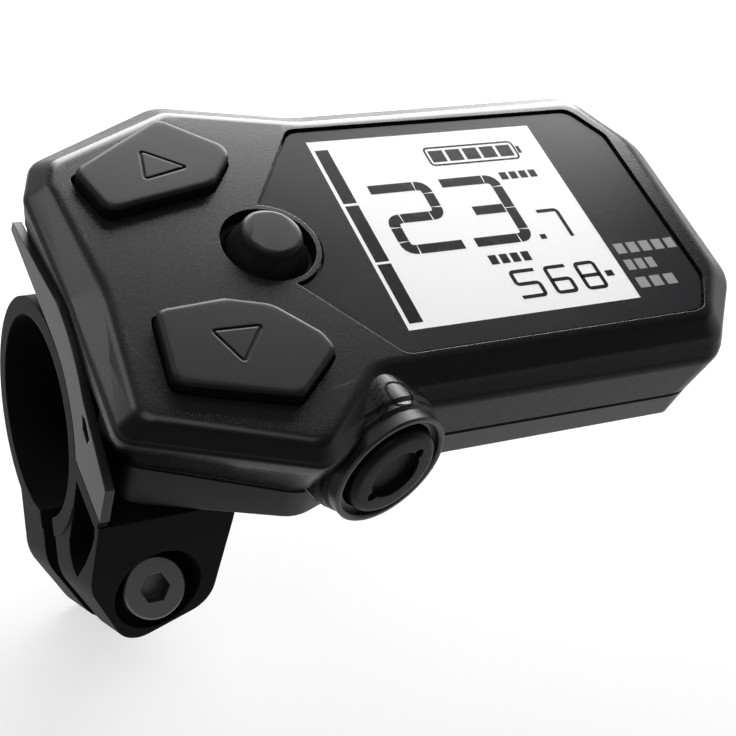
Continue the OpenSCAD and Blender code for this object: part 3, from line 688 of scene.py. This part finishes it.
def soft_form():
    """Softened outside of the upper shell as a closed solid."""
    top = FACE_Z + OVERLAP
    levels = [(plan_ring(RIDGE_CORNERS, RIM_WIDTH), top), (plan_ring(RIDGE_CORNERS), top),
              (plan_ring(FOOT_CORNERS), EDGE_Z), (plan_ring(FOLD_CORNERS), FOLD_Z),
              (plan_ring(SEAM_CORNERS, -SEAM_OUT), SEAM_Z - OVERLAP)]
    return rounded_loft("soft_form", levels, [0, RIDGE_BOW, FOOT_BOW, FOLD_BOW, 0])


def inner_core():
    """Solid just inside the housing's walls, drawn out past the seam and the face."""
    past = 1
    face_inset = SHOULDER_IN + SKIN
    levels = [(SEAM_CORNERS, SKIN, SEAM_Z - past), (WAIST_CORNERS, SKIN, WAIST_Z),
              (EDGE_CORNERS, SKIN, EDGE_Z - SKIN), (EDGE_CORNERS, face_inset, FACE_Z - SKIN),
              (EDGE_CORNERS, face_inset, FACE_Z + 2 * past)]
    return loft_mesh("inner_core", [at_height(plan_ring(corners, inset), z) for corners, inset, z in levels])


def outer_layer():
    """Scratch piece with the soft form's outer layer where it replaces that of the solids."""
    left, reach = -60, 100
    layer = scratch_piece(soft_form())
    cut_away(layer, inner_core())
    cut_away(layer, prism_mesh("rear", rectangle(left, REAR_Y, 2 * reach, reach), 0, REAR_TOP))
    cut_away(layer, turned_mesh("collar_room", COLLAR_ROOM, boss_placing()))
    return layer


def upright_solid(name, corners, inset, low, high):
    """Closed solid with upright walls over an outline of corners."""
    return loft_mesh(name, [at_height(plan_ring(corners, inset), z) for z in (low, high)])


def lens_groove():
    """Scratch piece with the shape of the groove round the lens."""
    groove = scratch_piece(upright_solid("groove", LENS_CORNERS, -GROOVE_WIDTH, FACE_Z - GROOVE_DEPTH,
                                         FACE_Z + CUT_OVER))
    height = 30
    lip = [(0, 0), (MODE_LIP_RADIUS, 0), (MODE_LIP_RADIUS, height), (0, height)]
    lip_place = Matrix.Translation((MODE_PLACE[0] * MM, MODE_PLACE[1] * MM, 0))
    cut_away(groove, turned_mesh("lip", lip, lip_place))
    return groove


def soften_shell(shell):
    """Gives the upper shell its softened outside, its fuller front corner and the keys' openings."""
    bound = scratch_piece(soft_form())
    combine(bound, turned_mesh("boss", BOSS_PROFILE, boss_placing()), "UNION")
    layer = outer_layer()
    combine(shell, free_mesh(bound), "INTERSECT")
    combine(shell, free_mesh(layer), "UNION")
    for key, old in ((DOWN_KEY, SOLID_DOWN_KEY), (UP_KEY, SOLID_UP_KEY)):
        combine(shell, upright_solid("filling", old, -FILLING_OVER, ROOF_Z, FACE_Z), "UNION")
        cut_away(shell, upright_solid("opening", key, -KEY_GAP, ROOF_Z - OPENING_BELOW, FACE_Z + CUT_OVER))
    cut_away(shell, free_mesh(lens_groove()))
    clean_mesh(shell.data, SOFT_CREASE_DEGREES, SHORTEST_EDGE)


class OBJECT_OT_unit_shells(bpy.types.Operator):
    """Finishes the two shells of the housing"""

    bl_idname = "object.unit_shells"
    bl_label = "Housing shells"

    def execute(self, context):
        shell = add_piece("upper_shell", welded_mesh("upper_housing", "upper_shell"), FINISHES["housing"],
                          "housing", ["upper_housing"])
        soften_shell(shell)
        weight_normals(shell)
        dress("lower_housing", "lower_shell", FINISHES["lower"], "housing", SOFT_CREASE_DEGREES)
        return {"FINISHED"}


class OBJECT_OT_unit_clamp(bpy.types.Operator):
    """Finishes the clamp bracket and its bolt"""

    bl_idname = "object.unit_clamp"
    bl_label = "Handlebar clamp"

    def execute(self, context):
        dress("clamp_bracket", "bracket", FINISHES["clamp"], "housing")
        dress("clamp_bolt", "socket_bolt", FINISHES["black_steel"], "housing")
        dress("clamp_nut", "hexagon_nut", FINISHES["bright_steel"], "housing")
        return {"FINISHED"}


# Corners of the arrow marks on the two large buttons
UP_ARROW = [(3.3, 16.2), (7.6, 13.2), (2.4, 11.9)]
DOWN_ARROW = [(2.1, -9.6), (7.45, -9.75), (3.95, -14.0)]
ARROW_BOW = 0.5


def key_cap(corners, low, top):
    """Cap of a large key, rounded along its upper edge."""
    levels = [(plan_ring(corners), low), (plan_ring(corners), top), (plan_ring(corners, KEY_RIM), top)]
    return rounded_loft("cap", levels, [0, KEY_BOW, 0])


class OBJECT_OT_unit_buttons(bpy.types.Operator):
    """Finishes the two large buttons, engraves their arrows and finishes the middle button"""

    bl_idname = "object.unit_buttons"
    bl_label = "Top buttons"

    def execute(self, context):
        width = looks().housing.mark_width / MM
        depth = looks().housing.mark_depth / MM
        cap_low = ROOF_Z + CAP_ABOVE_ROOF
        over = 0.1
        reach = 50
        for name, arrow, corners in (("up", UP_ARROW, UP_KEY), ("down", DOWN_ARROW, DOWN_KEY)):
            node = name + "_button"
            piece = add_piece(name + "_key", welded_mesh(node, name + "_key"), FINISHES["button"], node,
                              [node])
            top = top_of(node)
            cut_away(piece, prism_mesh("upper_part", square(reach), cap_low + over, top + reach))
            combine(piece, key_cap(corners, cap_low, top), "UNION")
            clean_mesh(piece.data, SOFT_CREASE_DEGREES, SHORTEST_EDGE)
            path = rounded_path(arrow, ARROW_BOW, closed=True, steps=3)
            cut_away(piece, stroke_mesh("arrow", path, width, top - depth, top + CUT_OVER, closed=True))
            weight_normals(piece)
        dress("mode_button", "mode_key", FINISHES["button"], "mode_button")
        return {"FINISHED"}


# How far the front key's face is set back, and where its neck begins, in front of the boss
KEY_SINK = 0.8
KEY_NECK = 1.3

# Headlamp mark: a half-round lamp, and beams to its left that all point one way. Its engraved lines are drawn
# as thin dark strokes laid on the shell, which are painted shade of their grooves
LAMP_PLACE = (18.12, -19.27)
LAMP_RADIUS = 1.51
LAMP_LENGTH = 2.75
LAMP_BOW = 1.3
LAMP_TURN = -2.1
LAMP_LINE_SHARE = 0.8
BEAM_COUNT = 5
BEAM_GAP = 0.6
BEAM_SPREAD = 0.95
BEAM_REACH = (-1.28, -1.07)
MARK_THICKNESS = 0.02
MARK_LIFT = 0.02


def lamp_mark_mesh(width):
    """Lines of the headlamp mark, laid out flat at height zero."""
    place = Vector(LAMP_PLACE)
    turn = Matrix.Rotation(math.radians(LAMP_TURN), 2)
    corners = ((0, LAMP_RADIUS), (LAMP_LENGTH, LAMP_RADIUS), (LAMP_LENGTH, -LAMP_RADIUS), (0, -LAMP_RADIUS))
    lamp = rounded_path([place + turn @ Vector(corner) for corner in corners], LAMP_BOW, closed=True, steps=8)
    paths = [lamp + lamp[:1]]
    for i in range(BEAM_COUNT):
        side = LAMP_RADIUS * (1 - 2 * i / (BEAM_COUNT - 1)) * BEAM_SPREAD
        start = place + turn @ Vector((-BEAM_GAP, side))
        paths.append([start, start + Vector(BEAM_REACH)])
    return join_meshes("lamp_mark", [stroke_mesh("line", close_points(path), width, 0, MARK_THICKNESS)
                                     for path in paths])


class OBJECT_OT_unit_front_button(bpy.types.Operator):
    """Finishes the round front button, its collar and the headlamp mark above it"""

    bl_idname = "object.unit_front_button"
    bl_label = "Front button"

    def execute(self, context):
        key = dress("light_button", "front_key", FINISHES["front_button"], "light_button")
        placing = boss_placing()
        away = placing.inverted()
        for vertex in key.data.vertices:
            place = away @ vertex.co
            if place.z < -KEY_NECK * MM:
                place.z += KEY_SINK * MM
                vertex.co = placing @ place
        dress("light_collar", "front_collar", FINISHES["collar"], "housing")
        mark = lamp_mark_mesh(looks().housing.mark_width / MM * LAMP_LINE_SHARE)
        drape(mark, bpy.data.objects["upper_shell"], MARK_LIFT)
        add_piece("lamp_mark", mark, FINISHES["mark"], "housing")
        return {"FINISHED"}


# Corner of the window nearest the rider and the clamp, and the panel's upper and lower face
# below the lens's top
WINDOW_CORNER = (24.1, -11.73)
PANEL_DROP = 0.04
PANEL_DEPTH = 0.6
INK_THICKNESS = 0.02

# Bars of a segment digit: the gap at each side of a bow, and a bow's reach as a share of the
# bar's width
BAR_GAP = 0.07
BOW_SHARE = 0.95

# Places on the display, as x, y, width and height. The large digits have their step as well,
# each word's blocks their count, and the lens's ticks share one left side and height.
LARGE_DIGITS = (28.6, -1.35, 7.8, 10.95, 9.4)
SMALL_DIGITS = {"7": (48.2, -1.35, 3.0, 4.6), "5": (39.7, -9.65, 3.4, 4.3),
                "6": (44.3, -9.65, 3.0, 4.3), "8": (48.45, -9.65, 3.0, 4.3)}
DOTS = ((46.65, -1.3, 0.8, 0.75), (52.05, -8.0, 1.05, 0.87))
SIDE_BARS = ((24.6, -10.8, 1.7, 8.6), (24.6, -1.83, 1.7, 8.63), (24.6, 7.2, 1.7, 8.67))
BATTERY_CASE = ((38.4, 11.9), (50.7, 11.9), (50.7, 14.8), (38.4, 14.8))
BATTERY_BOW = 0.6
BATTERY_LINE = 0.26
BATTERY_CELL = (38.8, 12.4, 1.95, 1.9)
BATTERY_PITCH = 2.36
BATTERY_CELLS = 5
BATTERY_NUB = (50.95, 12.75, 0.5, 1.2)
WORD_BLOCKS = ((46.4, 8.6, 5.1, 1.2, 4), (38.4, -4.2, 5.4, 1.4, 4))
BLOCK_GAP_SHARE = 0.28
TICK_LEFT = 55.4
TICK_HEIGHT = 1.6
TICK_ROWS = ((-5.0, 8.6, 5), (-7.6, 4.1, 3), (-10.4, 5.4, 3))


def digit_path(digit, x, y, width, height):
    """Centre line of a small digit in its box."""
    right = x + width
    top = y + height
    middle = y + height / 2
    return {
        "5": [(right, top), (x, top), (x, middle), (right, middle), (right, y), (x, y)],
        "6": [(right, top), (x, top), (x, y), (right, y), (right, middle), (x, middle)],
        "7": [(x, top), (right, top), (right, y)],
        "8": [(x, middle), (x, top), (right, top), (right, middle), (right, y), (x, y), (x, middle),
              (right, middle)],
    }[digit]


def small_digit(digit, x, y, width, height, stroke, low, high):
    """Line of a small digit whose outer edges fill its box."""
    half = stroke / 2
    points = digit_path(digit, x + half, y + half, width - stroke, height - stroke)
    path = rounded_path(points, stroke * BOW_SHARE)
    path[0] += (path[0] - path[1]).normalized() * half
    if digit in ("5", "7"):
        path[-1] += (path[-1] - path[-2]).normalized() * half
    return stroke_mesh("digit", path, stroke, low, high)


def gapped_bars(points, stroke, low, high):
    """Bars along a line, with bows at its corners and a thin gap on each side of a bow."""
    reach = stroke * BOW_SHARE
    meshes = []
    start = Vector(points[0])
    for before, middle, after in zip(points, points[1:], points[2:]):
        corner = Vector(middle)
        back = (Vector(before) - corner).normalized()
        onward = (Vector(after) - corner).normalized()
        meshes.append(stroke_mesh("bar", [start, corner + back * (reach + BAR_GAP)], stroke, low, high))
        turn = bow(corner + back * (reach - BAR_GAP), corner, corner + onward * (reach - BAR_GAP), BOW_STEPS)
        meshes.append(stroke_mesh("bow", turn, stroke, low, high))
        start = corner + onward * (reach + BAR_GAP)
    meshes.append(stroke_mesh("bar", [start, Vector(points[-1])], stroke, low, high))
    return meshes


def large_digits(x, y, width, height, step, stroke, low, high):
    """The large 2 and 3, made of bars that fill their boxes."""
    short_bar_share = 0.28
    half = stroke / 2
    top = y + height - half
    middle = y + height / 2
    base = y + half
    left = x + half
    right = x + width - half
    meshes = gapped_bars([(x, top), (right, top), (right, middle), (left, middle), (left, base),
                          (x + width, base)], stroke, low, high)
    x += step
    right += step
    for level, turn in ((top, middle + BAR_GAP), (base, middle - BAR_GAP)):
        meshes += gapped_bars([(x, level), (right, level), (right, turn)], stroke, low, high)
    short_bar = [Vector((x + width * short_bar_share, middle)), Vector((right - half - 2 * BAR_GAP, middle))]
    meshes.append(stroke_mesh("bar", short_bar, stroke, low, high))
    return meshes


def blocks(x, y, width, height, count, low, high):
    """Row of like blocks that stands for a printed word."""
    pitch = width / (count - BLOCK_GAP_SHARE)
    block = pitch * (1 - BLOCK_GAP_SHARE)
    return [prism_mesh("block", rectangle(x + i * pitch, y, block, height), low, high) for i in range(count)]


class OBJECT_OT_unit_display(bpy.types.Operator):
    """Builds the lens with its window, the display and the picture on it"""

    bl_idname = "object.unit_display"
    bl_label = "Display"

    def execute(self, context):
        sizes = looks().display
        top = top_of("display_lens")
        lens = add_piece("lens", welded_mesh("display_lens", "lens"), FINISHES["lens"], "housing",
                         ["display_lens"])
        window = rectangle(*WINDOW_CORNER, sizes.window_width / MM, sizes.window_height / MM)
        reach = 2
        cut_away(lens, prism_mesh("window", window, top - reach, top + reach))
        paper = top - PANEL_DROP
        panel = prism_mesh("panel", window, top - PANEL_DEPTH, paper)
        add_piece("display_panel", panel, FINISHES["lcd"], "housing")
        ink = (paper, paper + INK_THICKNESS)
        self.add_printed("display_digits", self.digits(sizes, *ink))
        self.add_printed("display_bars", [prism_mesh("bar", rectangle(*bar), *ink) for bar in SIDE_BARS])
        self.add_printed("display_battery", self.battery(*ink))
        notes = [mesh for word in WORD_BLOCKS for mesh in blocks(*word, *ink)]
        self.add_printed("display_notes", notes)
        ticks = [mesh for y, width, count in TICK_ROWS
                 for mesh in blocks(TICK_LEFT, y, width, TICK_HEIGHT, count, top, top + INK_THICKNESS)]
        self.add_printed("lens_ticks", ticks, "print", "lens")
        return {"FINISHED"}

    def add_printed(self, name, meshes, finish="ink", slot="lcd"):
        add_piece(name, join_meshes(name, meshes), FINISHES[finish], "housing")

    def digits(self, sizes, low, high):
        small = sizes.small_stroke / MM
        meshes = large_digits(*LARGE_DIGITS, sizes.digit_stroke / MM, low, high)
        meshes += [small_digit(digit, *box, small, low, high) for digit, box in SMALL_DIGITS.items()]
        return meshes + [prism_mesh("dot", rectangle(*dot), low, high) for dot in DOTS]

    def battery(self, low, high):
        case = rounded_path(BATTERY_CASE, BATTERY_BOW, closed=True)
        meshes = [stroke_mesh("case", case, BATTERY_LINE, low, high, closed=True)]
        x, y, width, height = BATTERY_CELL
        for i in range(BATTERY_CELLS):
            cell = rectangle(x + BATTERY_PITCH * i, y, width, height)
            meshes.append(prism_mesh("cell", cell, low, high))
        return meshes + [prism_mesh("nub", rectangle(*BATTERY_NUB), low, high)]


# Finish of each CAD node that is shown as it is
NODE_FINISHES = {
    "bracket_screws": "bright_steel", "housing_screws": "black_steel", "housing_seal": "rubber",
    "lens_gasket": "rubber", "lcd_glass": "lcd", "light_guide": "guide", "lcd_frame": "white_plastic",
    "contact_strips": "rubber", "main_board": "board", "board_chips": "chip", "up_plunger": "brass",
    "down_plunger": "brass", "mode_plunger": "brass", "light_plunger": "brass", "up_switch": "chip",
    "down_switch": "chip", "mode_switch": "chip", "light_switch": "chip", "light_board": "board",
    "button_seals": "rubber", "light_seal": "rubber", "cable_port": "collar", "port_pins": "brass",
}


class OBJECT_OT_unit_inner_pieces(bpy.types.Operator):
    """Finishes the screws, seals, boards and switches inside, and the cable socket"""

    bl_idname = "object.unit_inner_pieces"
    bl_label = "Inner pieces"

    def execute(self, context):
        for node, finish in NODE_FINISHES.items():
            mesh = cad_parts[node].data
            mesh.materials.clear()
            mesh.materials.append(FINISHES[finish])
        return {"FINISHED"}


# Camera of the photograph, with its right and up directions
CAMERA_PLACE = Vector((-56.958, -100.723, 135.806))
CAMERA_RIGHT = Vector((0.87694, -0.39356, 0.27585))
CAMERA_UP = Vector((0.13550, 0.75315, 0.64374))
SENSOR_WIDTH = 36.0

# Place, target, width, height and roll in degrees of each soft box
REAR_LAMP = ((88, 153, 72), (38, 66, 72), 180, 124, 13)
LEFT_LAMP = ((-158, 188, 177), (0, 0, 20), 120, 120, 0)
TOP_LAMP = ((-40, -30, 420), (20, 0, 0), 260, 260, 0)

# Reach of the floor to each side, and of the backdrop round it
FLOOR_REACH = 3000
FLOOR_THICKNESS = 1
BACKDROP_TOP = 1300
BACKDROP_THICKNESS = 10
BACKDROP_STEP = 5  # degrees


def area_lamp(name, power, place, target, width, height, roll):
    """Soft box at a place, turned towards a target and rolled about that line."""
    data = bpy.data.lights.new(name, "AREA")
    data.shape = "RECTANGLE"
    data.size = width * MM
    data.size_y = height * MM
    data.energy = power
    lamp = new_object(name, data)
    lamp.visible_camera = False
    lamp.location = Vector(place) * MM
    aim = (Vector(target) - Vector(place)).to_track_quat("-Z", "Y").to_matrix()
    lamp.rotation_euler = (aim @ Matrix.Rotation(math.radians(roll), 3, "Z")).to_euler()


def studio_floor(colour):
    """Matt white floor that reads as white in the picture and keeps a soft shadow."""
    glow = 0.68
    material, tree, output = new_material("matt_white_floor")
    path = add_node(tree, "ShaderNodeLightPath")
    near = add_node(tree, "ShaderNodeMath", settings={"operation": "ADD"})
    tree.links.new(path.outputs["Is Camera Ray"], near.inputs[0])
    tree.links.new(path.outputs["Is Glossy Ray"], near.inputs[1])
    seen = add_node(tree, "ShaderNodeMath", settings={"operation": "ADD", "use_clamp": True})
    tree.links.new(near.outputs[0], seen.inputs[0])
    tree.links.new(path.outputs["Is Transmission Ray"], seen.inputs[1])
    shine = add_node(tree, "ShaderNodeMath", settings={"operation": "MULTIPLY"}, inputs={1: glow})
    tree.links.new(seen.outputs[0], shine.inputs[0])
    matt = add_node(tree, "ShaderNodeBsdfDiffuse", inputs={"Color": linear("#b0b0b0")})
    glowing = add_node(tree, "ShaderNodeEmission", inputs={"Color": colour}, Strength=shine.outputs[0])
    both = add_node(tree, "ShaderNodeAddShader")
    tree.links.new(matt.outputs[0], both.inputs[0])
    tree.links.new(glowing.outputs[0], both.inputs[1])
    tree.links.new(both.outputs[0], output.inputs["Surface"])
    return material


class SCENE_OT_unit_stage(bpy.types.Operator):
    """Sets the camera, the lamps, the floor, the backdrop and the sky"""

    bl_idname = "scene.unit_stage"
    bl_label = "Stage"

    def execute(self, context):
        scene = context.scene
        studio = looks().studio
        scene.view_settings.view_transform = "Standard"
        self.add_camera(scene, studio)
        area_lamp("rear_lamp", studio.rear_power, *REAR_LAMP)
        area_lamp("left_lamp", studio.left_power, *LEFT_LAMP)
        area_lamp("top_lamp", studio.top_power, *TOP_LAMP)
        self.add_sky(scene, studio)
        self.add_floor(studio)
        return {"FINISHED"}

    def add_camera(self, scene, studio):
        data = bpy.data.cameras.new("camera")
        data.lens = studio.focal_length
        data.sensor_width = SENSOR_WIDTH
        data.clip_start = 1 * MM
        camera = new_object("camera", data)
        back = CAMERA_RIGHT.cross(CAMERA_UP)
        turn = Matrix((CAMERA_RIGHT, CAMERA_UP, back)).transposed().to_4x4()
        camera.matrix_world = Matrix.Translation(CAMERA_PLACE * MM) @ turn
        scene.camera = camera

    def add_sky(self, scene, studio):
        world = bpy.data.worlds.new("studio_sky")
        world.use_nodes = True
        tree = world.node_tree
        tree.nodes.clear()
        output = add_node(tree, "ShaderNodeOutputWorld")
        sky = add_node(tree, "ShaderNodeBackground",
                       inputs={"Color": linear("#ffffff"), "Strength": studio.sky_strength})
        tree.links.new(sky.outputs["Background"], output.inputs["Surface"])
        scene.world = world

    def add_floor(self, studio):
        low = CAD_BOX[0][2] / MM
        finish = studio_floor(studio.floor_colour)
        ground = prism_mesh("floor", square(FLOOR_REACH), low - FLOOR_THICKNESS, low)
        angles = [math.radians(angle) for angle in range(0, 360, BACKDROP_STEP)]
        circle = [Vector((FLOOR_REACH * math.cos(angle), FLOOR_REACH * math.sin(angle))) for angle in angles]
        backdrop = stroke_mesh("backdrop", circle, BACKDROP_THICKNESS, low, BACKDROP_TOP, closed=True)
        for mesh in (ground, backdrop):
            mesh.materials.append(finish)
            thing = new_object(mesh.name, mesh)


STEPS = (
    OBJECT_OT_unit_shells,
    OBJECT_OT_unit_clamp,
    OBJECT_OT_unit_buttons,
    OBJECT_OT_unit_front_button,
    OBJECT_OT_unit_display,
    OBJECT_OT_unit_inner_pieces,
    SCENE_OT_unit_stage,
)


class VIEW3D_PT_unit_looks(bpy.types.Panel):
    """Button of each step, and all settings"""

    bl_idname = "VIEW3D_PT_unit_looks"
    bl_label = "Handlebar display"
    bl_space_type = "VIEW_3D"
    bl_region_type = "UI"
    bl_category = "Handlebar display"

    def draw(self, context):
        for step in STEPS:
            self.layout.operator(step.bl_idname)
        settings = context.scene.handlebar_display
        for group in (settings.housing, settings.display, settings.studio):
            box = self.layout.box()
            for name in group.__annotations__:
                box.prop(group, name)


CLASSES = (HousingLooks, DisplayLooks, StudioLooks, UnitLooks, *STEPS, VIEW3D_PT_unit_looks)


def register():
    """Makes the classes and the settings known to Blender."""
    for item in CLASSES:
        bpy.utils.register_class(item)
    bpy.types.Scene.handlebar_display = PointerProperty(type=UnitLooks)


def unregister():
    """Takes the settings and the classes out of Blender again."""
    del bpy.types.Scene.handlebar_display
    for item in reversed(CLASSES):
        bpy.utils.unregister_class(item)


def main():
    """Runs every step."""
    register()
    FINISHES.update(make_materials())
    for step in STEPS:
        group, name = step.bl_idname.split(".")
        getattr(getattr(bpy.ops, group), name)()


if __name__ == "__main__":
    main()
